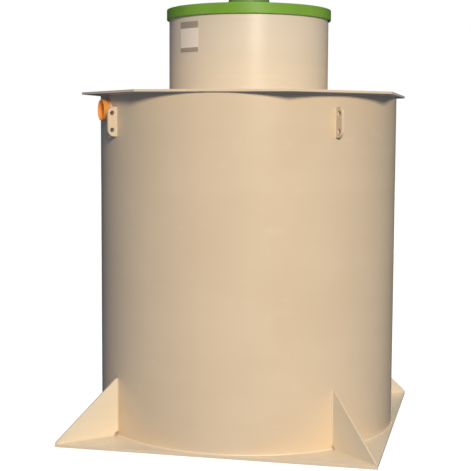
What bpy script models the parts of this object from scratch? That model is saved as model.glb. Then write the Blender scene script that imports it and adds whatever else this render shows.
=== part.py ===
# Household sewage treatment plant: a round plastic tank on a square anchoring base
# plate, with a top plate as wide as the base and cut at its corners, a round access neck
# and a lift-off lid with a ventilation cowl. Metres, +Z up. The origin is the middle of
# the base plate's underside. The front is -Y, and headings are degrees from the front,
# growing towards the right (+X).
import math

import bmesh
import bpy
from mathutils import Matrix

# Tank
TANK_RADIUS = 0.800
WALL = 0.010
WALL_HEIGHT = 1.770
TANK_STEPS = 96

# Base plate and the gusset fins that tie it to the tank
BASE_SIDE = 1.630
BASE_THICK = 0.015
FIN_HEIGHT = 0.299
FIN_THICK = 0.012
FIN_LAND = 0.008
FIN_COPE = 0.020

# Top plate: a square as wide as the base, with its four corners cut at 45 degrees
TOP_SIDE = BASE_SIDE
TOP_CORNER_CUT = 0.425
TOP_THICK = 0.012

# Access neck
NECK_RADIUS = 0.430
NECK_HEIGHT = 0.438
NECK_STEPS = 96

# Lid: its skirt hangs outside the neck and its plate rests on the neck's edge
LID_PLATE_THICK = 0.010
SKIRT_DEPTH = 0.045
SKIRT_WALL = 0.008
SKIRT_CLEARANCE = 0.0055
LID_EDGE_ROUND = 0.004

# Ventilation cowl in the middle of the lid
STACK_RADIUS = 0.055
STACK_WALL = 0.0034
STACK_HEIGHT = 0.050
COWL_RADIUS = 0.112
COWL_WALL = 0.004
COWL_RIM_HEIGHT = 0.034
COWL_RIM_DEPTH = 0.012
COWL_RISE = 0.046
COWL_TOP_RADIUS = 0.030
COWL_RIB_THICK = 0.005
COWL_RIB_INSET = 0.007
COWL_STEPS = 48

# Inlet and outlet stubs: 110 mm drain pipe through the wall
PIPE_RADIUS = 0.055
PIPE_WALL = 0.0034
PIPE_CENTRE_HEIGHT = 1.702
PIPE_OUTSIDE = 0.038
PIPE_INSIDE = 0.050
PIPE_STEPS = 48
INLET_HEADING = 307
OUTLET_HEADING = INLET_HEADING - 180

# Lifting lugs, upright plates above the fins
LUG_BOTTOM = 1.567
LUG_HEIGHT = 0.151
LUG_REACH = 0.048
LUG_THICK = 0.015
LUG_CORNER = 0.032
LUG_HOLE_RADIUS = 0.012
LUG_HOLE_SPACING = 0.086
LUG_HOLE_REACH = 0.025

# Rating plate on the neck, left bare
LABEL_WIDTH = 0.134
LABEL_HEIGHT = 0.155
LABEL_THICK = 0.0015
LABEL_HEADING = 326
LABEL_CENTRE_HEIGHT = 2.082
LABEL_STEPS = 8

# Seating gap between neighbouring solids
GAP = 0.0003

# Levels that follow from the sizes above
WALL_BOTTOM = BASE_THICK + GAP
TOP_BOTTOM = BASE_THICK + WALL_HEIGHT
TOP_TOP = TOP_BOTTOM + TOP_THICK
NECK_BOTTOM = TOP_TOP + GAP
NECK_TOP = TOP_TOP + NECK_HEIGHT
LID_UNDERSIDE = NECK_TOP + GAP
LID_TOP = LID_UNDERSIDE + LID_PLATE_THICK
SKIRT_INNER = NECK_RADIUS + SKIRT_CLEARANCE
SKIRT_OUTER = SKIRT_INNER + SKIRT_WALL

# Headings of the eight tank wall panels; fins and lugs stand on the diagonal ones
HEADINGS = {
    "front": 0,
    "front_right": 45,
    "right": 90,
    "back_right": 135,
    "back": 180,
    "back_left": 225,
    "left": 270,
    "front_left": 315,
}
DIAGONALS = ("front_right", "back_right", "back_left", "front_left")

# Surface colours as linear red, green, blue, then roughness
BEIGE = ((0.72, 0.56, 0.38), 0.45)
GREEN = ((0.17, 0.38, 0.04), 0.40)
DULL_GREEN = ((0.14, 0.30, 0.06), 0.50)
ORANGE = ((0.78, 0.26, 0.05), 0.35)
LABEL_GREY = ((0.55, 0.52, 0.48), 0.50)


def clear_scene():
    for item in list(bpy.data.objects):
        bpy.data.objects.remove(item, do_unlink=True)


def new_collection(name):
    collection = bpy.data.collections.new(name)
    bpy.context.scene.collection.children.link(collection)
    return collection


def plastic(name, finish):
    colour, roughness = finish
    material = bpy.data.materials.new(name)
    material.use_nodes = True
    shader = material.node_tree.nodes["Principled BSDF"]
    shader.inputs["Base Color"].default_value = (*colour, 1.0)
    shader.inputs["Roughness"].default_value = roughness
    shader.inputs["Metallic"].default_value = 0.0
    material.diffuse_color = (*colour, 1.0)
    return material


def turn_to(heading):
    """Turn about Z that points local +X along a heading."""
    return math.radians(heading - 90.0)


def empty(name, location=(0.0, 0.0, 0.0), parent=None):
    item = bpy.data.objects.new(name, None)
    item.location = location
    item.parent = parent
    parts.objects.link(item)
    return item


def place(name, mesh, finish, parent, location=(0.0, 0.0, 0.0), heading=90.0):
    """One named sub-part: a mesh set at a place and turned to a heading."""
    item = bpy.data.objects.new(name, mesh)
    item.location = location
    item.rotation_euler = (0.0, 0.0, turn_to(heading))
    item.parent = parent
    if not item.data.materials:
        item.data.materials.append(plastic(name + "_plastic", finish))
    parts.objects.link(item)
    return item


def as_cutter(item):
    item.hide_render = True
    item.display_type = "WIRE"
    cutters.objects.link(item)
    return item


def evaluated_mesh(item, name):
    """The item's mesh with its modifiers applied and its loose caps welded."""
    bpy.context.view_layer.update()
    graph = bpy.context.evaluated_depsgraph_get()
    mesh = bpy.data.meshes.new_from_object(item.evaluated_get(graph))
    mesh.name = name
    work = bmesh.new()
    work.from_mesh(mesh)
    bmesh.ops.remove_doubles(work, verts=work.verts, dist=0.00001)
    work.to_mesh(mesh)
    work.free()
    return mesh


def baked(name, item):
    """Turn a working object into a plain mesh and take the object away."""
    mesh = evaluated_mesh(item, name)
    bpy.data.objects.remove(item, do_unlink=True)
    return mesh


def profile_mesh(name, points, closed):
    """Outline of a turned piece in the XZ plane, outer side running downwards."""
    edges = [(i, i + 1) for i in range(len(points) - 1)]
    if closed:
        edges.append((len(points) - 1, 0))
    mesh = bpy.data.meshes.new(name)
    mesh.from_pydata([(radius, 0.0, height) for radius, height in points], edges, [])
    return mesh


def turned_mesh(name, points, steps, closed=True):
    """A profile carried right round the Z axis with a Screw modifier."""
    item = bpy.data.objects.new(name, profile_mesh(name + "_profile", points, closed))
    parts.objects.link(item)
    screw = item.modifiers.new("turn", "SCREW")
    screw.axis = "Z"
    screw.angle = math.tau
    screw.steps = steps
    screw.render_steps = steps
    screw.use_merge_vertices = True
    screw.merge_threshold = 0.0001
    screw.use_smooth_shade = True
    return baked(name, item)


def ring_profile(inner, outer, bottom, top):
    return [(outer, top), (outer, bottom), (inner, bottom), (inner, top)]


def flat_mesh(name, outlines, thickness):
    """Flat plate in the XY plane from closed outlines, centred on its thickness.

    The first outline is the plate's edge, and the others are holes in it.
    """
    curve = bpy.data.curves.new(name, "CURVE")
    curve.dimensions = "2D"
    curve.fill_mode = "BOTH"
    curve.extrude = thickness / 2.0
    for outline in outlines:
        spline = curve.splines.new("POLY")
        spline.points.add(len(outline) - 1)
        for point, (x, y) in zip(spline.points, outline):
            point.co = (x, y, 0.0, 1.0)
        spline.use_cyclic_u = True
    item = bpy.data.objects.new(name, curve)
    parts.objects.link(item)
    return baked(name, item)


def upright(mesh):
    """Stand a flat plate up: its local Y becomes Z, its thickness lies along Y."""
    mesh.transform(Matrix.Rotation(math.radians(90.0), 4, "X"))
    return mesh


def arc(centre, radius, start, end, steps):
    """Points along an arc, in degrees, both ends included."""
    points = []
    for i in range(steps + 1):
        angle = math.radians(start + (end - start) * i / steps)
        x = centre[0] + radius * math.cos(angle)
        y = centre[1] + radius * math.sin(angle)
        points.append((x, y))
    return points


def circle(centre, radius, steps):
    return arc(centre, radius, 0.0, 360.0, steps)[:-1]


def round_bar_mesh(name, radius, length, steps):
    """A closed cylinder along Z, its bottom at the origin."""
    work = bmesh.new()
    lift = Matrix.Translation((0.0, 0.0, length / 2.0))
    bmesh.ops.create_cone(
        work,
        cap_ends=True,
        segments=steps,
        radius1=radius,
        radius2=radius,
        depth=length,
        matrix=lift,
    )
    mesh = bpy.data.meshes.new(name)
    work.to_mesh(mesh)
    work.free()
    return mesh


def cut(item, cutter, operation="DIFFERENCE"):
    boolean = item.modifiers.new(operation.lower(), "BOOLEAN")
    boolean.operation = operation
    boolean.solver = "EXACT"
    boolean.object = cutter
    return item


def shade_round(item):
    item.data.shade_smooth()
    item.data.set_sharp_from_angle(angle=math.radians(30.0))


def wall_panel_mesh(name, inner, outer, height, steps, panels):
    """One of several like panels of a round wall, centred on local +X."""
    tube = bpy.data.objects.new(name + "_tube", turned_mesh(
        name + "_tube", ring_profile(inner, outer, 0.0, height), steps))
    parts.objects.link(tube)
    half = math.pi / panels
    apex = (GAP / 2.0) / math.sin(half)
    reach = 2.0 * outer
    side = reach * math.tan(half)
    wedge_mesh = flat_mesh(
        name + "_wedge",
        [[(apex, 0.0), (apex + reach, -side), (apex + reach, side)]],
        4.0 * height,
    )
    wedge = as_cutter(bpy.data.objects.new(name + "_wedge", wedge_mesh))
    cut(tube, wedge, "INTERSECT")
    mesh = baked(name, tube)
    bpy.data.objects.remove(wedge, do_unlink=True)
    return mesh


def build_base_plate():
    work = bmesh.new()
    size = Matrix.Diagonal((BASE_SIDE, BASE_SIDE, BASE_THICK, 1.0))
    lift = Matrix.Translation((0.0, 0.0, BASE_THICK / 2.0))
    bmesh.ops.create_cube(work, size=1.0, matrix=lift @ size)
    mesh = bpy.data.meshes.new("base_plate")
    work.to_mesh(mesh)
    work.free()
    place("base_plate", mesh, BEIGE, plant)


def build_corner_fins():
    """Upright triangles from each corner of the base plate to the tank wall.

    The inner lower corner is coped away in a quarter round, clear of the wall's weld.
    """
    foot_start = TANK_RADIUS + GAP
    foot_end = BASE_SIDE / math.sqrt(2.0) - FIN_THICK / 2.0
    outline = [
        (foot_end, 0.0),
        (foot_end, FIN_LAND),
        (foot_start + FIN_LAND, FIN_HEIGHT),
        (foot_start, FIN_HEIGHT),
    ]
    outline += arc((foot_start, 0.0), FIN_COPE, 90.0, 0.0, 6)
    mesh = upright(flat_mesh("corner_fin", [outline], FIN_THICK))
    for side in DIAGONALS:
        place("corner_fin_" + side, mesh, BEIGE, plant, (0.0, 0.0, WALL_BOTTOM), HEADINGS[side])


def pipe_along(name, radius, inner_end, outer_end, heading):
    """A bar on a pipe's line, used to cut the pipe's hole through the wall."""
    item = bpy.data.objects.new(name, round_bar_mesh(
        name, radius, outer_end - inner_end, PIPE_STEPS))
    item.location = heading_point(inner_end, heading, PIPE_CENTRE_HEIGHT)
    item.rotation_euler = (0.0, math.radians(90.0), turn_to(heading))
    return item


def heading_point(distance, heading, height):
    angle = turn_to(heading)
    return (distance * math.cos(angle), distance * math.sin(angle), height)


def build_tank_wall():
    inner = TANK_RADIUS - WALL
    height = WALL_HEIGHT - 2.0 * GAP
    mesh = wall_panel_mesh(
        "tank_wall", inner, TANK_RADIUS, height, TANK_STEPS, len(HEADINGS))
    panels = {}
    for side, heading in HEADINGS.items():
        panel = place(
            "tank_wall_" + side, mesh, BEIGE, plant, (0.0, 0.0, WALL_BOTTOM), heading)
        shade_round(panel)
        panels[side] = panel
    holes = {"front_left": INLET_HEADING, "back_right": OUTLET_HEADING}
    for side, heading in holes.items():
        drill = as_cutter(pipe_along(
            "pipe_hole_" + side, PIPE_RADIUS + GAP, 0.5 * inner, 1.5 * TANK_RADIUS, heading))
        cut(panels[side], drill)


def build_pipe_stub(name, heading):
    """A short length of drain pipe standing through the wall, open at both ends."""
    length = PIPE_INSIDE + WALL + PIPE_OUTSIDE
    inner_end = TANK_RADIUS - WALL - PIPE_INSIDE
    mesh = turned_mesh(
        name, ring_profile(PIPE_RADIUS - PIPE_WALL, PIPE_RADIUS, 0.0, length), PIPE_STEPS)
    stub = place(
        name, mesh, ORANGE, plant,
        heading_point(inner_end, heading, PIPE_CENTRE_HEIGHT), heading)
    stub.rotation_euler = (0.0, math.radians(90.0), turn_to(heading))
    shade_round(stub)


def build_lifting_lugs():
    """Upright plates with rounded outer corners and two shackle holes each."""
    root = TANK_RADIUS + GAP
    tip = TANK_RADIUS + LUG_REACH
    outline = [(root, 0.0)]
    outline += arc((tip - LUG_CORNER, LUG_CORNER), LUG_CORNER, -90.0, 0.0, 8)
    outline += arc((tip - LUG_CORNER, LUG_HEIGHT - LUG_CORNER), LUG_CORNER, 0.0, 90.0, 8)
    outline.append((root, LUG_HEIGHT))
    holes = []
    for step in (-0.5, 0.5):
        centre = (TANK_RADIUS + LUG_HOLE_REACH, LUG_HEIGHT / 2.0 + step * LUG_HOLE_SPACING)
        holes.append(circle(centre, LUG_HOLE_RADIUS, 20))
    mesh = upright(flat_mesh("lifting_lug", [outline] + holes, LUG_THICK))
    for side in DIAGONALS:
        place("lifting_lug_" + side, mesh, BEIGE, plant, (0.0, 0.0, LUG_BOTTOM), HEADINGS[side])


def build_top_plate():
    """Square plate with cut corners and a hole under the neck."""
    edge = TOP_SIDE / 2.0
    near = edge - TOP_CORNER_CUT
    outline = [
        (edge, -near),
        (edge, near),
        (near, edge),
        (-near, edge),
        (-edge, near),
        (-edge, -near),
        (-near, -edge),
        (near, -edge),
    ]
    hole = circle((0.0, 0.0), NECK_RADIUS - WALL, NECK_STEPS)
    mesh = flat_mesh("top_plate", [outline, hole], TOP_THICK)
    place("top_plate", mesh, BEIGE, plant, (0.0, 0.0, TOP_BOTTOM + TOP_THICK / 2.0))


def build_neck():
    height = NECK_TOP - NECK_BOTTOM
    sides = DIAGONALS
    mesh = wall_panel_mesh(
        "neck_wall", NECK_RADIUS - WALL, NECK_RADIUS, height, NECK_STEPS, len(sides))
    for side in sides:
        panel = place(
            "neck_wall_" + side, mesh, BEIGE, plant, (0.0, 0.0, NECK_BOTTOM), HEADINGS[side])
        shade_round(panel)


def build_label():
    """Thin bare plate bent round the neck, cut out of a turned band."""
    inner = NECK_RADIUS + GAP
    band = bpy.data.objects.new("label_band", turned_mesh(
        "label_band", ring_profile(inner, inner + LABEL_THICK, 0.0, LABEL_HEIGHT), NECK_STEPS * 2))
    parts.objects.link(band)
    work = bmesh.new()
    size = Matrix.Diagonal((NECK_RADIUS, LABEL_WIDTH, 4.0 * LABEL_HEIGHT, 1.0))
    bmesh.ops.create_cube(work, size=1.0, matrix=Matrix.Translation((NECK_RADIUS, 0.0, 0.0)) @ size)
    box_mesh = bpy.data.meshes.new("label_blank")
    work.to_mesh(box_mesh)
    work.free()
    blank = as_cutter(bpy.data.objects.new("label_blank", box_mesh))
    cut(band, blank, "INTERSECT")
    mesh = baked("label_plate", band)
    bpy.data.objects.remove(blank, do_unlink=True)
    height = LABEL_CENTRE_HEIGHT - LABEL_HEIGHT / 2.0
    label = place("label_plate", mesh, LABEL_GREY, plant, (0.0, 0.0, height), LABEL_HEADING)
    shade_round(label)


def build_lid():
    """Round lid plate with a soft upper edge and a vent hole, and the skirt under it."""
    base = LID_UNDERSIDE
    edge = [
        (SKIRT_OUTER - LID_EDGE_ROUND + x, LID_TOP - base - LID_EDGE_ROUND + z)
        for x, z in arc((0.0, 0.0), LID_EDGE_ROUND, 90.0, 0.0, 4)
    ]
    bore = STACK_RADIUS - STACK_WALL
    points = [(bore, LID_TOP - base)] + edge + [(SKIRT_OUTER, 0.0), (bore, 0.0)]
    plate = place("lid_plate", turned_mesh("lid_plate", points, NECK_STEPS), GREEN, lid)
    shade_round(plate)
    skirt_mesh = turned_mesh(
        "lid_skirt", ring_profile(SKIRT_INNER, SKIRT_OUTER, -SKIRT_DEPTH, -GAP), NECK_STEPS)
    skirt = place("lid_skirt", skirt_mesh, GREEN, lid)
    shade_round(skirt)


def build_vent():
    """Short stack over the vent hole, and a hollow cowl on four ribs that covers it."""
    foot = LID_PLATE_THICK + GAP
    stack_mesh = turned_mesh(
        "vent_stack",
        ring_profile(STACK_RADIUS - STACK_WALL, STACK_RADIUS, 0.0, STACK_HEIGHT),
        COWL_STEPS,
    )
    stack = place("vent_stack", stack_mesh, DULL_GREEN, lid, (0.0, 0.0, foot))
    shade_round(stack)

    rim_bottom = COWL_RIM_HEIGHT
    rim_top = rim_bottom + COWL_RIM_DEPTH
    crown = rim_top + COWL_RISE
    swell = [
        (
            COWL_TOP_RADIUS + (COWL_RADIUS - COWL_TOP_RADIUS) * math.sin(math.radians(angle)),
            rim_top + COWL_RISE * math.cos(math.radians(angle)),
        )
        for angle in range(0, 91, 15)
    ]
    outer = [(0.0, crown)] + swell + [(COWL_RADIUS, rim_bottom)]
    inner = [(COWL_RADIUS - COWL_WALL, rim_bottom)]
    inner += [(radius - COWL_WALL, height - COWL_WALL) for radius, height in reversed(swell)]
    inner.append((0.0, crown - COWL_WALL))
    hood_mesh = turned_mesh("vent_cowl", outer + inner, COWL_STEPS, closed=False)
    cowl = place("vent_cowl", hood_mesh, DULL_GREEN, lid, (0.0, 0.0, LID_PLATE_THICK))
    shade_round(cowl)

    rib_foot = foot + STACK_HEIGHT + GAP - LID_PLATE_THICK
    rib_start = STACK_RADIUS - COWL_RIB_INSET
    rib_end = STACK_RADIUS + COWL_RIB_INSET
    rib_top = crown - COWL_WALL / 2.0
    outline = [
        (-rib_end, rib_foot),
        (-rib_start, rib_foot),
        (-rib_start, rib_foot + COWL_RIB_INSET),
        (rib_start, rib_foot + COWL_RIB_INSET),
        (rib_start, rib_foot),
        (rib_end, rib_foot),
        (rib_start, rib_top),
        (-rib_start, rib_top),
    ]
    rib_mesh = upright(flat_mesh("cowl_rib", [outline], COWL_RIB_THICK))
    for heading in (45.0, 135.0):
        rib = as_cutter(bpy.data.objects.new("cowl_rib_%d" % heading, rib_mesh))
        rib.parent = lid
        rib.location = (0.0, 0.0, LID_PLATE_THICK)
        rib.rotation_euler = (0.0, 0.0, turn_to(heading))
        cut(cowl, rib, "UNION")


clear_scene()
parts = new_collection("sewage_treatment_plant")
cutters = new_collection("cutters")
plant = empty("plant")
lid = empty("lid_lift", (0.0, 0.0, LID_UNDERSIDE), plant)
build_base_plate()
build_corner_fins()
build_tank_wall()
build_pipe_stub("inlet_pipe", INLET_HEADING)
build_pipe_stub("outlet_pipe", OUTLET_HEADING)
build_lifting_lugs()
build_top_plate()
build_neck()
build_label()
build_lid()
build_vent()
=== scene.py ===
import math

import bmesh
import bpy
from mathutils import Matrix, Vector


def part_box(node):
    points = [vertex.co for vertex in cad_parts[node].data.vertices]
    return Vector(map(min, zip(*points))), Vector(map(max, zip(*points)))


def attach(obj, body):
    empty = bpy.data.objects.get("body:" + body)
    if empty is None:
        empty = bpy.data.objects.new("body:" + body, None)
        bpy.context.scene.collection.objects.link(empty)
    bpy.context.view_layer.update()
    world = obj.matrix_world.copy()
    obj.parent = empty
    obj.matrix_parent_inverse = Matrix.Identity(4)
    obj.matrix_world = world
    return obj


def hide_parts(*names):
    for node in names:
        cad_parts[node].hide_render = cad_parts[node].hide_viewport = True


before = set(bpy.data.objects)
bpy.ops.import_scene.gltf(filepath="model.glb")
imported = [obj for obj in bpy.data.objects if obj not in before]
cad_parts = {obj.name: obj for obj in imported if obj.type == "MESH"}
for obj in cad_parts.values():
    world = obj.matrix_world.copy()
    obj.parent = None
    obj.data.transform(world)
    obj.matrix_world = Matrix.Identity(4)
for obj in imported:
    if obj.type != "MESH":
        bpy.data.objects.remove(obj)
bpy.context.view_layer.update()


# Base plate: a square of 15 mm beige polypropylene sheet, sawn to size, with its sharp
# edges scraped off. The tank is welded on it, and the backfill on its corners holds the
# plant down in wet ground.

UP = Vector((0.0, 0.0, 1.0))
PLATE_EASE = 0.0012
SAME_POINT = 0.00002
FLAT_DEGREES = 0.5
EASED_DEGREES = 40.0
SHEET_CRISP_DEGREES = 15.0
FACE_ALIGNMENT = 0.8
SHEET_BEIGE = (0.700, 0.528, 0.342)
# Painted light: the base plate and fins take a paler, cooler tone than the tank's sheet, standing
# in for more light than the lamps give them.
PLATE_PAINTED_LIGHT_BEIGE = (0.765, 0.648, 0.475)
SHEET_PALE = (0.760, 0.590, 0.405)
SHEET_TAN = (0.640, 0.475, 0.305)
SHEET_DUST = (0.60, 0.55, 0.48)
SAWN_PALE = (0.720, 0.565, 0.395)


class Value:
    """An output of a material's node. Adding and multiplying values adds Math nodes."""

    def __init__(self, finish, socket):
        self.finish = finish
        self.socket = socket

    def maths(self, operation, first, second):
        return self.finish.node("ShaderNodeMath", {"operation": operation}, {0: first, 1: second})

    def __add__(self, other):
        return self.maths("ADD", self, other)

    def __radd__(self, other):
        return self.maths("ADD", other, self)

    def __mul__(self, other):
        return self.maths("MULTIPLY", self, other)

    def __rmul__(self, other):
        return self.maths("MULTIPLY", other, self)


def feed(tree, socket, value):
    """Give a socket its link, colour or number."""
    if isinstance(value, Value):
        tree.links.new(value.socket, socket)
    elif isinstance(value, bpy.types.NodeSocket):
        tree.links.new(value, socket)
    elif socket.type == "RGBA":
        socket.default_value = (*value, 1.0)
    else:
        socket.default_value = value


def add_node(tree, kind, settings=None, sockets=None):
    """Add a node to a tree: its settings first, then what its sockets are fed."""
    made = tree.nodes.new(kind)
    for name, value in (settings or {}).items():
        setattr(made, name, value)
    live = [socket for socket in made.inputs if socket.enabled]
    for key, value in (sockets or {}).items():
        socket = live[key] if isinstance(key, int) else next(s for s in live if s.name == key)
        feed(tree, socket, value)
    return made


class Finish:
    """A procedural material, built node by node around one Principled shader."""

    def __init__(self, name, roughness, specular=0.5, coat=0.0):
        self.material = bpy.data.materials.new(name)
        self.material.use_nodes = True
        self.tree = self.material.node_tree
        self.shader = self.tree.nodes["Principled BSDF"]
        self.roughness = roughness
        self.set("Roughness", roughness)
        self.set("Specular IOR Level", specular)
        self.set("Coat Weight", coat)
        self.place = self.node("ShaderNodeTexCoord", output="Object")

    def set(self, name, value):
        """Set one of the shader's own sockets."""
        feed(self.tree, self.shader.inputs[name], value)

    def node(self, kind, settings=None, sockets=None, output=None):
        """Add a node and return its named output, or else the first one in use."""
        made = add_node(self.tree, kind, settings, sockets)
        in_use = next(socket for socket in made.outputs if socket.enabled)
        return Value(self, made.outputs[output] if output else in_use)

    def noise(self, scale, detail=2.0, stretch=(1.0, 1.0, 1.0)):
        """Noise with about `scale` blotches to the metre, stretched along the axes."""
        place = self.node("ShaderNodeMapping", {}, {"Vector": self.place, "Scale": stretch})
        sockets = {"Vector": place, "Scale": scale, "Detail": detail}
        return self.node("ShaderNodeTexNoise", {}, sockets)

    def ramp(self, value, low, high, start=0.0, end=1.0):
        """Smooth step from `start` to `end` while the value goes from low to high."""
        sockets = {
            "Value": value,
            "From Min": low,
            "From Max": high,
            "To Min": start,
            "To Max": end,
        }
        return self.node("ShaderNodeMapRange", {"interpolation_type": "SMOOTHSTEP"}, sockets)

    def mix(self, share, first, second):
        """Colour between two colours."""
        return self.node(
            "ShaderNodeMix", {"data_type": "RGBA"}, {0: share, "A": first, "B": second})

    def bump(self, height, strength, distance):
        sockets = {"Height": height, "Strength": strength, "Distance": distance}
        return self.node("ShaderNodeBump", {}, sockets)

    def facing_up(self):
        """1 on level surfaces that face up, falling to 0 on upright ones."""
        normal = self.node("ShaderNodeNewGeometry", output="Normal")
        upward = self.node("ShaderNodeSeparateXYZ", {}, {0: normal}, output="Z")
        return self.ramp(upward, low=0.55, high=0.95)


def beige_sheet(name, grain, middle=SHEET_BEIGE):
    """Extruded sheet: drag lines along its length, faint clouding, handling scuffs, dust."""
    finish = Finish(name, roughness=0.27, specular=0.42)
    cloud = finish.noise(scale=2.3, detail=3.0)
    drag = finish.noise(scale=1.0, detail=5.0, stretch=grain)
    peel = finish.noise(scale=310.0, detail=2.0)
    rubbed = finish.noise(scale=9.0, detail=6.0, stretch=(1.0, 1.0, 2.4))
    scuffs = finish.ramp(rubbed, low=0.62, high=0.70)
    settled = finish.noise(scale=14.0, detail=4.0)
    dust = finish.facing_up() * finish.ramp(settled, low=0.35, high=0.75)
    tone = finish.ramp(cloud * 0.7 + drag * 0.3, low=0.36, high=0.64)
    colour = finish.mix(tone, SHEET_TAN, SHEET_PALE)
    colour = finish.mix(share=0.78, first=colour, second=middle)
    colour = finish.mix(scuffs * 0.18, colour, SHEET_PALE)
    colour = finish.mix(dust * 0.16, colour, SHEET_DUST)
    finish.set("Base Color", colour)
    finish.set("Roughness", finish.roughness + drag * 0.06 + scuffs * 0.12 + dust * 0.14)
    relief = drag * 0.6 + peel * 0.4
    finish.set("Normal", finish.bump(relief, strength=0.04, distance=0.0004))
    return finish.material


def sawn_edge(name, lines, pale=SAWN_PALE):
    """Edge left by the panel saw: matt and finely ribbed across its thickness."""
    finish = Finish(name, roughness=0.52, specular=0.3)
    ribs = finish.noise(scale=1.0, detail=3.0, stretch=lines)
    blotch = finish.noise(scale=26.0, detail=3.0)
    finish.set("Base Color", finish.mix(ribs * 0.6 + blotch * 0.2, SHEET_BEIGE, pale))
    finish.set("Roughness", finish.roughness + ribs * 0.2)
    finish.set("Normal", finish.bump(ribs, strength=0.35, distance=0.0004))
    return finish.material


def new_object(name, data):
    item = bpy.data.objects.new(name, data)
    bpy.context.scene.collection.objects.link(item)
    return item


def finished(name, mesh, body, slot, *nodes):
    """The piece that stands for some CAD nodes, riding on their body."""
    piece = new_object(name, mesh)
    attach(piece, body)
    if nodes:
        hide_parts(*nodes)


def evaluated(item):
    """The plain mesh that a working object's modifiers make, and the object taken away."""
    bpy.context.view_layer.update()
    graph = bpy.context.evaluated_depsgraph_get()
    mesh = bpy.data.meshes.new_from_object(item.evaluated_get(graph))
    bpy.data.objects.remove(item, do_unlink=True)
    return mesh


def joined_copy(node, flatten=False):
    """A copy of a CAD node's mesh with its loose triangles joined at their points, and,
    to flatten it, those that lie in one plane joined to one face."""
    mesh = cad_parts[node].data.copy()
    mesh.materials.clear()
    work = bmesh.new()
    work.from_mesh(mesh)
    bmesh.ops.remove_doubles(work, verts=work.verts, dist=SAME_POINT)
    if flatten:
        bmesh.ops.dissolve_limit(
            work, angle_limit=math.radians(FLAT_DEGREES), verts=work.verts, edges=work.edges)
    work.to_mesh(mesh)
    work.free()
    return mesh


def smoothed(mesh, crisp_degrees):
    """Smooth shading, but crisp where the surface turns by more than an angle."""
    mesh.shade_smooth()
    mesh.set_sharp_from_angle(angle=math.radians(crisp_degrees))
    return mesh


def eased_sheet(node, ease, across, face, edge):
    """A CAD sheet's shape with its sharp edges eased, in a face and a sawn edge finish."""
    item = new_object(node + "_blank", joined_copy(node, flatten=True))
    bevel = item.modifiers.new("ease", "BEVEL")
    bevel.width = ease
    bevel.segments = 2
    bevel.limit_method = "ANGLE"
    bevel.angle_limit = math.radians(EASED_DEGREES)
    mesh = evaluated(item)
    mesh.materials.append(face)
    mesh.materials.append(edge)
    for polygon in mesh.polygons:
        on_face = abs(polygon.normal.dot(across)) > FACE_ALIGNMENT
        polygon.material_index = 0 if on_face else 1
    return smoothed(mesh, SHEET_CRISP_DEGREES)


# The base plate's paler tone is painted light.
base_face = beige_sheet("base_sheet_face", (0.8, 30.0, 0.8), PLATE_PAINTED_LIGHT_BEIGE)
base_edge = sawn_edge("base_sheet_sawn_edge", (420.0, 420.0, 30.0))
base_mesh = eased_sheet("base_plate", PLATE_EASE, UP, base_face, base_edge)
finished("base_sheet", base_mesh, "tank", "beige_sheet", "base_plate")


# Tank wall: one 10 mm polypropylene sheet rolled into a cylinder and butt welded, drilled
# for the two drain pipes. It stands upright on the base plate, where a bead of weld runs
# round its foot.

WALL_THICK = 0.010
WALL_EASE = 0.001
WALL_STEPS = 256
ROUND_CRISP_DEGREES = 22.0
PIPE_RADIUS = 0.055
PIPE_CLEARANCE = 0.0004
PIPE_HEIGHT = 1.702
INLET_HEADING = 307.0
OUTLET_HEADING = 127.0
DRILL_REACH = 0.2
DRILL_STEPS = 64


def towards(heading, distance, height=0.0):
    """The point at a distance from the tank's axis along a heading."""
    angle = math.radians(heading)
    return Vector((distance * math.sin(angle), -distance * math.cos(angle), height))


def new_tree(name, inputs):
    """A Geometry Nodes tree with one geometry in and out and some named inputs."""
    tree = bpy.data.node_groups.new(name, "GeometryNodeTree")
    tree.interface.new_socket("Geometry", in_out="INPUT", socket_type="NodeSocketGeometry")
    for label, kind in inputs.items():
        tree.interface.new_socket(label, in_out="INPUT", socket_type="NodeSocket" + kind)
    tree.interface.new_socket("Geometry", in_out="OUTPUT", socket_type="NodeSocketGeometry")
    return tree, tree.nodes.new("NodeGroupInput").outputs


def tree_maths(tree, operation, *values):
    """Add a Math node to a tree and return its result."""
    sockets = dict(enumerate(values))
    return add_node(tree, "ShaderNodeMath", {"operation": operation}, sockets).outputs[0]


def end_tree(tree, geometry, material):
    """End a tree with real geometry in a material."""
    real = add_node(tree, "GeometryNodeRealizeInstances", {}, {0: geometry})
    dressed = add_node(tree, "GeometryNodeSetMaterial", {}, {
        "Geometry": real.outputs[0], "Material": material})
    tree.links.new(dressed.outputs[0], tree.nodes.new("NodeGroupOutput").inputs[0])
    return tree


def run_tree(tree, item, values):
    """Run a tree on an object with named input values, and return the plain mesh."""
    modifier = item.modifiers.new(tree.name, "NODES")
    modifier.node_group = tree
    sockets = {s.name: s.identifier for s in tree.interface.items_tree if s.in_out == "INPUT"}
    for label, value in values.items():
        modifier[sockets[label]] = value
    return evaluated(item)


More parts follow.
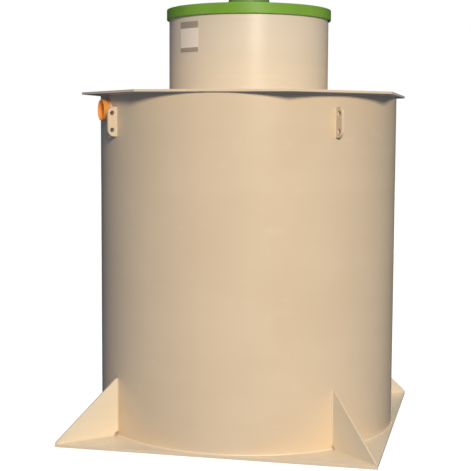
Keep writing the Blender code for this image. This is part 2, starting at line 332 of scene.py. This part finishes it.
def rolled_wall_tree():
    """A round wall: a thin upright section with eased corners, swept round a circle."""
    tree, given = new_tree("rolled_wall", {
        "Radius": "Float",
        "Thickness": "Float",
        "Height": "Float",
        "Foot": "Float",
        "Ease": "Float",
        "Steps": "Int",
        "Finish": "Material",
    })
    half = tree_maths(tree, "MULTIPLY", given["Thickness"], 0.5)
    middle = tree_maths(tree, "SUBTRACT", given["Radius"], half)
    path = add_node(tree, "GeometryNodeCurvePrimitiveCircle", {}, {
        "Resolution": given["Steps"], "Radius": middle})
    section = add_node(tree, "GeometryNodeCurvePrimitiveQuadrilateral", {}, {
        "Width": given["Thickness"], "Height": given["Height"]})
    eased = add_node(tree, "GeometryNodeFilletCurve", {"mode": "POLY"}, {
        "Curve": section.outputs[0], "Count": 2, "Radius": given["Ease"]})
    swept = add_node(tree, "GeometryNodeCurveToMesh", {}, {
        "Curve": path.outputs[0], "Profile Curve": eased.outputs[0]})
    rise = tree_maths(tree, "MULTIPLY_ADD", given["Height"], 0.5, given["Foot"])
    shift = add_node(tree, "ShaderNodeCombineXYZ", {}, {"Z": rise})
    placed = add_node(tree, "GeometryNodeTransform", {}, {
        "Geometry": swept.outputs[0], "Translation": shift.outputs[0]})
    return end_tree(tree, placed.outputs[0], given["Finish"])


def rolled_wall(name, radius, foot, top, material):
    """The plain mesh of a round wall that stands from its foot to its top."""
    blank = new_object(name + "_blank", bpy.data.meshes.new(name + "_blank"))
    mesh = run_tree(wall_tree, blank, {
        "Radius": radius,
        "Thickness": WALL_THICK,
        "Height": top - foot,
        "Foot": foot,
        "Ease": WALL_EASE,
        "Steps": WALL_STEPS,
        "Finish": material,
    })
    work = bmesh.new()
    work.from_mesh(mesh)
    bmesh.ops.recalc_face_normals(work, faces=work.faces)
    work.to_mesh(mesh)
    work.free()
    return mesh


def new_mesh(name, work):
    """The mesh of a finished bmesh."""
    mesh = bpy.data.meshes.new(name)
    work.to_mesh(mesh)
    work.free()
    return mesh


def pointing_out(heading, start):
    """Turns a shape that stands on the origin so that it points out along a heading."""
    turn = Matrix.Rotation(math.radians(heading), 4, "Z")
    tip = Matrix.Rotation(math.radians(90.0), 4, "X")
    return Matrix.Translation(start) @ turn @ tip


def drilled(mesh, headings, radius, height):
    """Cut level holes through a round wall along some headings."""
    wall = new_object("wall_blank", mesh)
    drills = []
    for heading in headings:
        work = bmesh.new()
        bmesh.ops.create_cone(
            work,
            cap_ends=True,
            segments=DRILL_STEPS,
            radius1=radius,
            radius2=radius,
            depth=DRILL_REACH,
        )
        work.transform(pointing_out(heading, towards(heading, tank_radius, height)))
        drill = new_object("pipe_drill", new_mesh("pipe_drill", work))
        cut = wall.modifiers.new("drill", "BOOLEAN")
        cut.operation = "DIFFERENCE"
        cut.solver = "EXACT"
        cut.object = drill
        drills.append(drill)
    holed = evaluated(wall)
    for drill in drills:
        bpy.data.objects.remove(drill, do_unlink=True)
    return holed


wall_tree = rolled_wall_tree()
wall_low, wall_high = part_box("tank_wall_front")
tank_radius = -wall_low.y
wall_finish = beige_sheet("tank_sheet_face", (0.35, 0.35, 9.0))
wall_mesh = rolled_wall("tank_wall", tank_radius, wall_low.z, wall_high.z, wall_finish)
wall_mesh = drilled(
    wall_mesh, (INLET_HEADING, OUTLET_HEADING), PIPE_RADIUS + PIPE_CLEARANCE, PIPE_HEIGHT)
wall_nodes = sorted(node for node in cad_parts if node.startswith("tank_wall_"))
wall_mesh = smoothed(wall_mesh, ROUND_CRISP_DEGREES)
finished("tank_shell", wall_mesh, "tank", "beige_sheet", *wall_nodes)


# Weld at the foot of the tank wall: a rod of the same plastic laid hot into the corner by
# an extruder gun. The gun's shoe leaves a smooth round bead with faint cross ripples.

FOOT_BEAD = 0.0062
BEAD_PITCH = 0.0065
BEAD_STEP = 0.0016
BEAD_SIDES = 10
BEAD_RIPPLE = 0.045
BEAD_SWELL = 0.16
SWELL_SCALE = 45.0
BEAD_FADE = 1.5
NO_FADE = 0.000001
BEAD_TIP = 0.0004
WELD_BEIGE = (0.735, 0.600, 0.425)
FLOW_LINE = 1.08


def weld_bead_tree():
    """A round bead along every spline, with ripples, uneven width and faded ends."""
    tree, given = new_tree("weld_bead", {
        "Radius": "Float",
        "Pitch": "Float",
        "Step": "Float",
        "Ripple": "Float",
        "Fade": "Float",
        "Seed": "Float",
        "Finish": "Material",
    })
    even = add_node(tree, "GeometryNodeResampleCurve", {"mode": "LENGTH"}, {
        "Curve": given["Geometry"], "Length": given["Step"]})
    along = add_node(tree, "GeometryNodeSplineParameter").outputs["Length"]
    whole = add_node(tree, "GeometryNodeSplineLength").outputs["Length"]
    turns = tree_maths(tree, "DIVIDE", along, given["Pitch"])
    wave = tree_maths(tree, "SINE", tree_maths(tree, "MULTIPLY", turns, math.tau))
    uneven = add_node(tree, "ShaderNodeTexNoise", {"noise_dimensions": "4D"}, {
        "W": given["Seed"], "Scale": SWELL_SCALE, "Detail": 2.0})
    swell = tree_maths(
        tree, "MULTIPLY_ADD", uneven.outputs[0], BEAD_SWELL, 1.0 - 0.5 * BEAD_SWELL)
    ripple = tree_maths(tree, "MULTIPLY_ADD", wave, given["Ripple"], swell)
    to_end = tree_maths(tree, "MINIMUM", along, tree_maths(tree, "SUBTRACT", whole, along))
    from_tip = tree_maths(tree, "ADD", to_end, BEAD_TIP)
    fade = tree_maths(tree, "MINIMUM", tree_maths(tree, "DIVIDE", from_tip, given["Fade"]), 1.0)
    full = tree_maths(tree, "MULTIPLY", ripple, tree_maths(tree, "SQRT", fade))
    section = add_node(tree, "GeometryNodeCurvePrimitiveCircle", {}, {
        "Resolution": BEAD_SIDES, "Radius": 1.0})
    swept = add_node(tree, "GeometryNodeCurveToMesh", {}, {
        "Curve": even.outputs[0],
        "Profile Curve": section.outputs[0],
        "Scale": tree_maths(tree, "MULTIPLY", full, given["Radius"]),
        "Fill Caps": True,
    })
    return end_tree(tree, swept.outputs[0], given["Finish"])


def weld_finish():
    """Weld rod: a little glossier than the sheet, with a thin pale flow line here and there."""
    finish = Finish("beige_weld_bead", roughness=0.28, specular=0.5)
    flow = finish.noise(scale=60.0, detail=4.0)
    flow_lines = finish.ramp(flow, low=0.52, high=0.68)
    pale = tuple(FLOW_LINE * part for part in WELD_BEIGE)
    finish.set("Base Color", finish.mix(flow_lines * 0.5, WELD_BEIGE, pale))
    finish.set("Roughness", finish.roughness + flow * 0.16)
    grain = finish.noise(scale=700.0, detail=2.0)
    finish.set("Normal", finish.bump(grain, strength=0.15, distance=0.0004))
    return finish.material


def weld(name, paths, radius, seed, closed=False):
    """Weld beads on the tank along some paths, as one piece."""
    curve = bpy.data.curves.new(name, "CURVE")
    curve.dimensions = "3D"
    for path in paths:
        spline = curve.splines.new("POLY")
        spline.points.add(len(path) - 1)
        for point, place in zip(spline.points, path):
            point.co = (*place, 1.0)
        spline.use_cyclic_u = closed
    mesh = run_tree(bead_tree, new_object(name + "_path", curve), {
        "Radius": radius,
        "Pitch": BEAD_PITCH,
        "Step": BEAD_STEP,
        "Ripple": BEAD_RIPPLE,
        "Fade": NO_FADE if closed else BEAD_FADE * radius,
        "Seed": seed,
        "Finish": beige_weld,
    })
    mesh.shade_smooth()
    finished(name, mesh, "tank", "beige_sheet")


def ring(radius, height, steps=180):
    """Points on a level circle round the tank's axis."""
    return [towards(360.0 * step / steps, radius, height) for step in range(steps)]


bead_tree = weld_bead_tree()
beige_weld = weld_finish()
base_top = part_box("base_plate")[1].z
weld("foot_weld", [ring(tank_radius, base_top)], FOOT_BEAD, seed=1.0, closed=True)


# Corner fins: upright triangles of 12 mm sheet that tie the base plate's corners to the
# tank wall, welded along both sides. The lower inner corner is coped clear of the wall's
# weld, and the sawn edges are a darker tone than those of the other sheets.

FIN_THICK = 0.012
FIN_EASE = 0.001
FIN_BEAD = 0.0045
FIN_COPE = 0.020
FIN_HEIGHT = 0.299
# A darker tone for the fins' sawn edges than for the other sheets' sawn edges.
FIN_SAWN = (0.540, 0.424, 0.296)
SIDES = {"front_right": 45.0, "back_right": 135.0, "back_left": 225.0, "front_left": 315.0}


def across_heading(heading):
    """Level direction square to a heading."""
    return towards(heading + 90.0, 1.0)


def both_sides(heading, thickness, path):
    """A path of distances and heights, on either face of a sheet that follows a heading."""
    return [
        [
            towards(heading, distance, height) + across_heading(heading) * way * thickness
            for distance, height in path
        ]
        for way in (-0.5, 0.5)
    ]


# The fins' paler tone is painted light.
fin_face = beige_sheet("fin_sheet_face", (6.0, 6.0, 26.0), PLATE_PAINTED_LIGHT_BEIGE)
fin_edge = sawn_edge("fin_sheet_sawn_edge", (180.0, 180.0, 300.0), FIN_SAWN)
fin_end = (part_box("base_plate")[1].x - FIN_THICK) * math.sqrt(2.0)
fin_foot = ((tank_radius + FIN_COPE, base_top), (fin_end, base_top))
fin_upright = ((tank_radius, base_top + FIN_COPE), (tank_radius, base_top + FIN_HEIGHT))
fin_weld_paths = []
for side, heading in SIDES.items():
    node = "corner_fin_" + side
    mesh = eased_sheet(node, FIN_EASE, across_heading(heading), fin_face, fin_edge)
    finished("fin_sheet_" + side, mesh, "tank", "beige_sheet", node)
    for path in (fin_foot, fin_upright):
        fin_weld_paths += both_sides(heading, FIN_THICK, path)
weld("fin_welds", fin_weld_paths, FIN_BEAD, seed=2.0)


# Drain pipe stubs: orange 110 mm sewer pipe, pushed through the wall and sealed with a
# bead on the outside. The outer end has the pipe's usual small chamfer.

PIPE_WALL = 0.0034
PIPE_CHAMFER = 0.0022
PIPE_BEAD = 0.0048
PIPE_STEPS = 96
PIPE_ORANGE = (0.790, 0.310, 0.062)
PIPE_DEEP = (0.730, 0.250, 0.045)
# Painted light: the bore glows with this strength, standing in for the light inside the pipe.
PIPE_PAINTED_GLOW = 0.15


def turned(name, profile, steps):
    """A profile of radius and height turned round Z, closed, with its faces outward."""
    work = bmesh.new()
    verts = [work.verts.new((radius, 0.0, height)) for radius, height in profile]
    edges = [work.edges.new(pair) for pair in zip(verts, verts[1:] + verts[:1])]
    bmesh.ops.spin(
        work,
        geom=verts + edges,
        cent=(0.0, 0.0, 0.0),
        axis=UP,
        angle=math.tau,
        steps=steps,
        use_merge=True,
    )
    bmesh.ops.remove_doubles(work, verts=work.verts, dist=SAME_POINT)
    bmesh.ops.recalc_face_normals(work, faces=work.faces)
    return new_mesh(name, work)


def pipe_finish(name, painted_glow=0.0):
    """Extruded pipe: fine lines along it, low gloss, faint clouding. A painted glow is painted
    light: it makes the bore glow faintly, standing in for the light inside the pipe."""
    finish = Finish(name, roughness=0.27, specular=0.5)
    lines = finish.noise(scale=1.0, detail=4.0, stretch=(60.0, 60.0, 420.0))
    colour = finish.mix(finish.noise(scale=22.0, detail=3.0), PIPE_DEEP, PIPE_ORANGE)
    finish.set("Base Color", colour)
    if painted_glow > 0.0:
        finish.set("Emission Color", colour)
        finish.set("Emission Strength", painted_glow)
    finish.set("Roughness", finish.roughness + lines * 0.14)
    finish.set("Normal", finish.bump(lines, strength=0.12, distance=0.0003))
    return finish.material


def pipe_stub(node, heading):
    """A stub as long as its CAD node, with the bore in a finish of its own."""
    outward = towards(heading, 1.0)
    reach = [vertex.co.dot(outward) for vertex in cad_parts[node].data.vertices]
    start, end = min(reach), max(reach)
    bore = PIPE_RADIUS - PIPE_WALL
    profile = [
        (PIPE_RADIUS, start),
        (PIPE_RADIUS, end - PIPE_CHAMFER),
        (PIPE_RADIUS - 0.5 * PIPE_CHAMFER, end),
        (bore, end),
        (bore, start),
    ]
    mesh = turned(node + "_turned", profile, PIPE_STEPS)
    mesh.materials.append(outside_orange)
    mesh.materials.append(inside_orange)
    for polygon in mesh.polygons:
        # The bore's faces take the finish that glows with painted light.
        in_bore = polygon.normal.xy.dot(polygon.center.xy) < -0.5 * bore
        polygon.material_index = 1 if in_bore else 0
    mesh.transform(pointing_out(heading, towards(heading, 0.0, PIPE_HEIGHT)))
    smoothed(mesh, ROUND_CRISP_DEGREES)
    finished(node + "_stub", mesh, "tank", "orange_pipe", node)


def collar(heading, steps=64):
    """Where the pipe's outside meets the tank's outside."""
    points = []
    for step in range(steps):
        angle = math.tau * step / steps
        sideways = PIPE_RADIUS * math.cos(angle)
        outward = math.sqrt(tank_radius ** 2 - sideways ** 2)
        height = PIPE_HEIGHT + PIPE_RADIUS * math.sin(angle)
        points.append(towards(heading, outward, height) + across_heading(heading) * sideways)
    return points


outside_orange = pipe_finish("orange_pipe_outside")
# The inside finish glows: painted light in the pipe's bore.
inside_orange = pipe_finish("orange_pipe_inside", PIPE_PAINTED_GLOW)
pipe_stub("inlet_pipe", INLET_HEADING)
pipe_stub("outlet_pipe", OUTLET_HEADING)
pipe_collars = [collar(INLET_HEADING), collar(OUTLET_HEADING)]
weld("pipe_welds", pipe_collars, PIPE_BEAD, seed=3.0, closed=True)


# Lifting lugs: plates of 15 mm sheet with two shackle holes and rounded outer corners,
# welded upright on the tank wall above the fins.

LUG_THICK = 0.015
LUG_EASE = 0.0012
LUG_BEAD = 0.0032

lug_face = beige_sheet("lug_sheet_face", (9.0, 9.0, 40.0))
lug_edge = sawn_edge("lug_sheet_sawn_edge", (260.0, 260.0, 260.0))
lug_low, lug_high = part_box("lifting_lug_front_right")
lug_upright = ((tank_radius, lug_low.z), (tank_radius, lug_high.z))
lug_weld_paths = []
for side, heading in SIDES.items():
    node = "lifting_lug_" + side
    mesh = eased_sheet(node, LUG_EASE, across_heading(heading), lug_face, lug_edge)
    finished("lug_sheet_" + side, mesh, "tank", "beige_sheet", node)
    lug_weld_paths += both_sides(heading, LUG_THICK, lug_upright)
weld("lug_welds", lug_weld_paths, LUG_BEAD, seed=4.0)


# Top plate: a square of 12 mm sheet as wide as the base plate, its corners sawn off, with a
# round hole under the neck. It closes the tank and overhangs it, and is welded to the wall
# from below.

TOP_EASE = 0.0010
TOP_BEAD = 0.0050

top_face = beige_sheet("top_sheet_face", (30.0, 0.8, 0.8))
top_edge = sawn_edge("top_sheet_sawn_edge", (420.0, 420.0, 30.0))
top_mesh = eased_sheet("top_plate", TOP_EASE, UP, top_face, top_edge)
finished("top_sheet", top_mesh, "tank", "beige_sheet", "top_plate")
top_low, top_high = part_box("top_plate")
weld("top_weld", [ring(tank_radius, top_low.z)], TOP_BEAD, seed=5.0, closed=True)


# Access neck: the same sheet rolled to a smaller cylinder, standing on the top plate round
# its hole and welded to it all the way round.

# Painted light: the neck is given a paler, cooler tone than the tank's same sheet, standing in
# for the extra light on the neck.
NECK_PAINTED_LIGHT_BEIGE = (0.686, 0.579, 0.437)
NECK_BEAD = 0.0052


def node_radii(node):
    """How far a CAD node's points lie from the tank's axis."""
    return [vertex.co.xy.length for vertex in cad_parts[node].data.vertices]


neck_radius = max(node_radii("neck_wall_front_left"))
neck_low, neck_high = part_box("neck_wall_front_left")
# The neck's paler tone is painted light.
neck_finish = beige_sheet("neck_sheet_face", (0.5, 0.5, 40.0), NECK_PAINTED_LIGHT_BEIGE)
neck_mesh = rolled_wall("neck_wall", neck_radius, neck_low.z, neck_high.z, neck_finish)
neck_nodes = sorted(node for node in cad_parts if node.startswith("neck_wall_"))
neck_mesh = smoothed(neck_mesh, ROUND_CRISP_DEGREES)
finished("neck_shell", neck_mesh, "tank", "beige_sheet", *neck_nodes)
weld("neck_weld", [ring(neck_radius, top_high.z)], NECK_BEAD, seed=6.0, closed=True)


# Upright seams: where the two ends of the tank's sheet meet, and those of the neck's. They
# are butt welded at the back and the bead is planed down until it hardly stands out.

SEAM_HEADING = 180.0
SEAM_BEAD = 0.0060
SEAM_STAND = 0.0022

seam_paths = []
for radius, low, high in (
        (tank_radius, wall_low.z, wall_high.z), (neck_radius, neck_low.z, neck_high.z)):
    depth = radius + SEAM_STAND - SEAM_BEAD
    seam_paths.append([towards(SEAM_HEADING, depth, low), towards(SEAM_HEADING, depth, high)])
weld("seam_welds", seam_paths, SEAM_BEAD, seed=7.0)


# Rating plate: a thin plastic plate glued on the neck, left of the front, and bent to its
# round. It is bare, with a plain grey-brown band along its top and its bottom.

LABEL_HEADING = 326.0
LABEL_COLUMNS = 24
LABEL_ROWS = 16
LABEL_CRISP_DEGREES = 40.0
TOP_BAND = 0.780
BOTTOM_BAND = 0.140
BAND_BLUR = 0.005
LABEL_FIELD = (0.880, 0.740, 0.615)
LABEL_BAND = (0.338, 0.269, 0.197)


def label_finish():
    """Printed plastic under a thin clear film, a little faded."""
    finish = Finish("bare_rating_plate", roughness=0.30, specular=0.5, coat=0.2)
    print_place = finish.node("ShaderNodeUVMap", {"uv_map": "print"})
    up = finish.node("ShaderNodeSeparateXYZ", {}, {0: print_place}, output="Y")
    bands = finish.ramp(up, TOP_BAND - BAND_BLUR, TOP_BAND + BAND_BLUR)
    bands = bands + finish.ramp(
        up, BOTTOM_BAND - BAND_BLUR, BOTTOM_BAND + BAND_BLUR, start=1.0, end=0.0)
    fading = finish.noise(scale=60.0, detail=4.0)
    field = finish.mix(fading * 0.4, LABEL_FIELD, SHEET_PALE)
    finish.set("Base Color", finish.mix(bands * 0.92, field, LABEL_BAND))
    finish.set("Roughness", finish.roughness + fading * 0.2)
    grain = finish.noise(scale=500.0)
    finish.set("Normal", finish.bump(grain, strength=0.08, distance=0.0003))
    return finish.material


def label_mesh():
    """A thin plate bent round the neck, with a map of its own for the bands."""
    low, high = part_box("label_plate")
    inner, outer = min(node_radii("label_plate")), max(node_radii("label_plate"))
    bearings = [
        math.degrees(math.atan2(vertex.co.x, -vertex.co.y)) % 360.0
        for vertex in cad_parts["label_plate"].data.vertices
    ]
    half = 0.5 * (max(bearings) - min(bearings))
    work = bmesh.new()
    layer = work.loops.layers.uv.new("print")
    grid = []
    for row in range(LABEL_ROWS + 1):
        height = low.z + (high.z - low.z) * row / LABEL_ROWS
        grid.append([])
        for column in range(LABEL_COLUMNS + 1):
            bearing = LABEL_HEADING + half * (2.0 * column / LABEL_COLUMNS - 1.0)
            grid[-1].append(work.verts.new(towards(bearing, outer, height)))
    corners = ((0, 0), (1, 0), (1, 1), (0, 1))
    for row in range(LABEL_ROWS):
        for column in range(LABEL_COLUMNS):
            face = work.faces.new([grid[row + up][column + right] for right, up in corners])
            for loop, (right, up) in zip(face.loops, corners):
                loop[layer].uv = ((column + right) / LABEL_COLUMNS, (row + up) / LABEL_ROWS)
    item = new_object("label_blank", new_mesh("label", work))
    thick = item.modifiers.new("thickness", "SOLIDIFY")
    thick.thickness = outer - inner
    thick.offset = -1.0
    return evaluated(item)


label = label_mesh()
label.materials.append(label_finish())
smoothed(label, LABEL_CRISP_DEGREES)
finished("rating_plate", label, "tank", "label", "label_plate")


# Lid: a green polypropylene cap, its plate and skirt formed in one. It drops over the neck
# and lifts straight off.

LID_GREEN = (0.177, 0.345, 0.036)
LID_LIGHT = (0.219, 0.400, 0.050)
LID_DEEP = (0.140, 0.296, 0.030)
GREEN_DUST = (0.46, 0.44, 0.37)
LID_ROUGHNESS = 0.34
LID_SPECULAR = 0.20
LID_ROUND = 0.004
SKIRT_ROUND = 0.002
SKIRT_LAND = 0.004
CORNER_LAND = 0.0004
LID_STEPS = 256


def rounded(centre, radius, start, end, steps):
    """Points on an arc of a profile, in degrees from straight out, growing upwards."""
    points = []
    for step in range(steps + 1):
        angle = math.radians(start + (end - start) * step / steps)
        points.append((
            centre[0] + radius * math.cos(angle), centre[1] + radius * math.sin(angle)))
    return points


def green_finish(name, light, middle, deep, roughness, specular):
    """Coloured plastic out in the weather: faint clouding, dust on top, fine scuffs."""
    finish = Finish(name, roughness, specular)
    cloud = finish.noise(scale=6.0, detail=4.0)
    grain = finish.noise(scale=260.0, detail=2.0)
    rubbed = finish.noise(scale=34.0, detail=6.0, stretch=(1.0, 1.0, 3.0))
    scuffs = finish.ramp(rubbed, low=0.60, high=0.70)
    settled = finish.noise(scale=16.0, detail=5.0)
    dust = finish.facing_up() * finish.ramp(settled, low=0.25, high=0.85)
    colour = finish.mix(finish.ramp(cloud, low=0.35, high=0.65), deep, light)
    colour = finish.mix(share=0.7, first=colour, second=middle)
    colour = finish.mix(scuffs * 0.15, colour, light)
    colour = finish.mix(dust * 0.12, colour, GREEN_DUST)
    finish.set("Base Color", colour)
    finish.set("Roughness", finish.roughness + cloud * 0.08 + scuffs * 0.10 + dust * 0.15)
    finish.set("Normal", finish.bump(grain, strength=0.10, distance=0.0004))
    return finish.material


plate_low, plate_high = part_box("lid_plate")
skirt_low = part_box("lid_skirt")[0]
lid_outer, lid_inner = max(node_radii("lid_skirt")), min(node_radii("lid_skirt"))
lid_bore = min(node_radii("lid_plate"))
lid_profile = [(lid_bore, plate_high.z), (lid_outer - 3.0 * LID_ROUND, plate_high.z)]
lid_profile += rounded(
    (lid_outer - LID_ROUND, plate_high.z - LID_ROUND), LID_ROUND, 90.0, 0.0, steps=6)
lid_profile += [
    (lid_outer, plate_high.z - 2.0 * LID_ROUND),
    (lid_outer, skirt_low.z + SKIRT_LAND),
]
lid_profile += rounded(
    (lid_outer - SKIRT_ROUND, skirt_low.z + SKIRT_ROUND), SKIRT_ROUND, 0.0, -90.0, steps=4)
lid_profile += rounded(
    (lid_inner + SKIRT_ROUND, skirt_low.z + SKIRT_ROUND), SKIRT_ROUND, -90.0, -180.0, steps=4)
lid_profile += [
    (lid_inner, skirt_low.z + SKIRT_LAND),
    (lid_inner, plate_low.z - CORNER_LAND),
    (lid_inner, plate_low.z),
    (lid_bore, plate_low.z),
]
lid_mesh = turned("lid_turned", lid_profile, LID_STEPS)
lid_mesh.materials.append(green_finish(
    "green_lid_sheet", LID_LIGHT, LID_GREEN, LID_DEEP, LID_ROUGHNESS, LID_SPECULAR))
smoothed(lid_mesh, ROUND_CRISP_DEGREES)
finished("lid_cap", lid_mesh, "lid", "green_sheet", "lid_plate", "lid_skirt")


# Vent: a short stack of dull green pipe over a hole in the lid, under a moulded mushroom
# cowl that keeps the rain out. Thin ribs under the cowl stand on the stack.

VENT_GREEN = (0.142, 0.230, 0.064)
VENT_LIGHT = (0.180, 0.270, 0.086)
VENT_DEEP = (0.112, 0.190, 0.050)
VENT_ROUGHNESS = 0.44
VENT_SPECULAR = 0.20
VENT_CRISP_DEGREES = 35.0

vent_finish = green_finish(
    "dull_green_vent", VENT_LIGHT, VENT_GREEN, VENT_DEEP, VENT_ROUGHNESS, VENT_SPECULAR)
for node in ("vent_stack", "vent_cowl"):
    mesh = joined_copy(node)
    mesh.materials.append(vent_finish)
    smoothed(mesh, VENT_CRISP_DEGREES)
    finished(node + "_moulding", mesh, "lid", "dull_green", node)


# Studio: a white floor in a white surround, a warm light low on the right of the front, a
# broad light overhead, and one behind that stays out of reflections. The surround is white
# to the camera, weak and cool as a light, and nearly dark in reflections.

FLOOR_HALF = 60.0
FLOOR_GLOW = 0.97
FLOOR_DARK = (0.14, 0.14, 0.14)
FLOOR_PALE = (0.16, 0.16, 0.16)
WHITE = (1.0, 1.0, 1.0)
LIGHT_DISTANCE = 30.0
LIGHT_TARGET = 1.1
KEY_HEADING = 23.0
KEY_ELEVATION = 19.5
KEY_SIZE = 5.0
KEY_POWER = 8200.0
KEY_TINT = (1.0, 0.935, 0.807)
TOP_ELEVATION = 90.0
TOP_SIZE = 21.0
TOP_POWER = 3700.0
BACK_HEADING = 192.0
BACK_ELEVATION = 12.0
BACK_SIZE = 8.0
BACK_POWER = 4000.0
FILL_TINT = (1.0, 0.97, 0.92)
SURROUND_LIGHT = (0.152, 0.215, 0.341)
SURROUND_SHEEN = (0.02, 0.02, 0.02)


def softbox(name, heading, elevation, size, power, tint):
    """A square light that faces the tank from a heading and an elevation."""
    lamp = bpy.data.lights.new(name, "AREA")
    lamp.shape = "SQUARE"
    lamp.size = size
    lamp.energy = power
    lamp.color = tint
    level = math.radians(elevation)
    away, rise = LIGHT_DISTANCE * math.cos(level), LIGHT_DISTANCE * math.sin(level)
    light = new_object(name, lamp)
    light.location = towards(heading, away, LIGHT_TARGET + rise)
    aim = Vector((0.0, 0.0, LIGHT_TARGET)) - light.location
    light.rotation_euler = aim.to_track_quat("-Z", "Y").to_euler()
    return light


floor_work = bmesh.new()
bmesh.ops.create_grid(floor_work, x_segments=1, y_segments=1, size=FLOOR_HALF)
floor = new_object("studio_floor", new_mesh("studio_floor", floor_work))
floor_finish = Finish("studio_floor_paint", roughness=0.9, specular=0.1)
floor_tone = floor_finish.mix(floor_finish.noise(scale=3.0), FLOOR_DARK, FLOOR_PALE)
floor_finish.set("Base Color", floor_tone)
floor_finish.set("Emission Color", WHITE)
floor_finish.set("Emission Strength", FLOOR_GLOW)
floor.data.materials.append(floor_finish.material)
floor.visible_diffuse = False
floor.visible_glossy = False

softbox("key_light", KEY_HEADING, KEY_ELEVATION, KEY_SIZE, KEY_POWER, KEY_TINT)
softbox("top_light", KEY_HEADING, TOP_ELEVATION, TOP_SIZE, TOP_POWER, FILL_TINT)
back_light = softbox(
    "back_light", BACK_HEADING, BACK_ELEVATION, BACK_SIZE, BACK_POWER, FILL_TINT)
back_light.visible_glossy = False

world = bpy.data.worlds.new("studio_surround")
world.use_nodes = True
ray = add_node(world.node_tree, "ShaderNodeLightPath")
shade = SURROUND_LIGHT
for kind, seen in (("Is Glossy Ray", SURROUND_SHEEN), ("Is Camera Ray", WHITE)):
    choice = add_node(world.node_tree, "ShaderNodeMix", {"data_type": "RGBA"}, {
        0: ray.outputs[kind], "A": shade, "B": seen})
    shade = next(socket for socket in choice.outputs if socket.enabled)
surround = world.node_tree.nodes["Background"]
feed(world.node_tree, surround.inputs["Color"], shade)
surround.inputs["Strength"].default_value = 1.0
bpy.context.scene.world = world
bpy.context.scene.view_settings.view_transform = "Standard"


# Camera: six metres away, 1.6 m up, a little below the top plate and right of the front.
# The tank fills the frame, and the frame's top cuts off the vent.

CAMERA_PLACE = (1.3305, -6.128, 1.5976)
CAMERA_TURN = 12.8567
CAMERA_DIP = 5.2257
CAMERA_ROLL = 0.3044
FOCAL_PIXELS = 1142.05
FRAME_PIXELS = 471
SENSOR_WIDTH = 36.0

lens = bpy.data.cameras.new("photo_camera")
lens.sensor_width = SENSOR_WIDTH
lens.lens = SENSOR_WIDTH * FOCAL_PIXELS / FRAME_PIXELS
camera = new_object("photo_camera", lens)
turn = Matrix.Rotation(math.radians(CAMERA_TURN), 4, "Z")
dip = Matrix.Rotation(math.radians(90.0 - CAMERA_DIP), 4, "X")
roll = Matrix.Rotation(math.radians(CAMERA_ROLL), 4, "Z")
camera.matrix_world = Matrix.Translation(CAMERA_PLACE) @ turn @ dip @ roll
bpy.context.scene.camera = camera
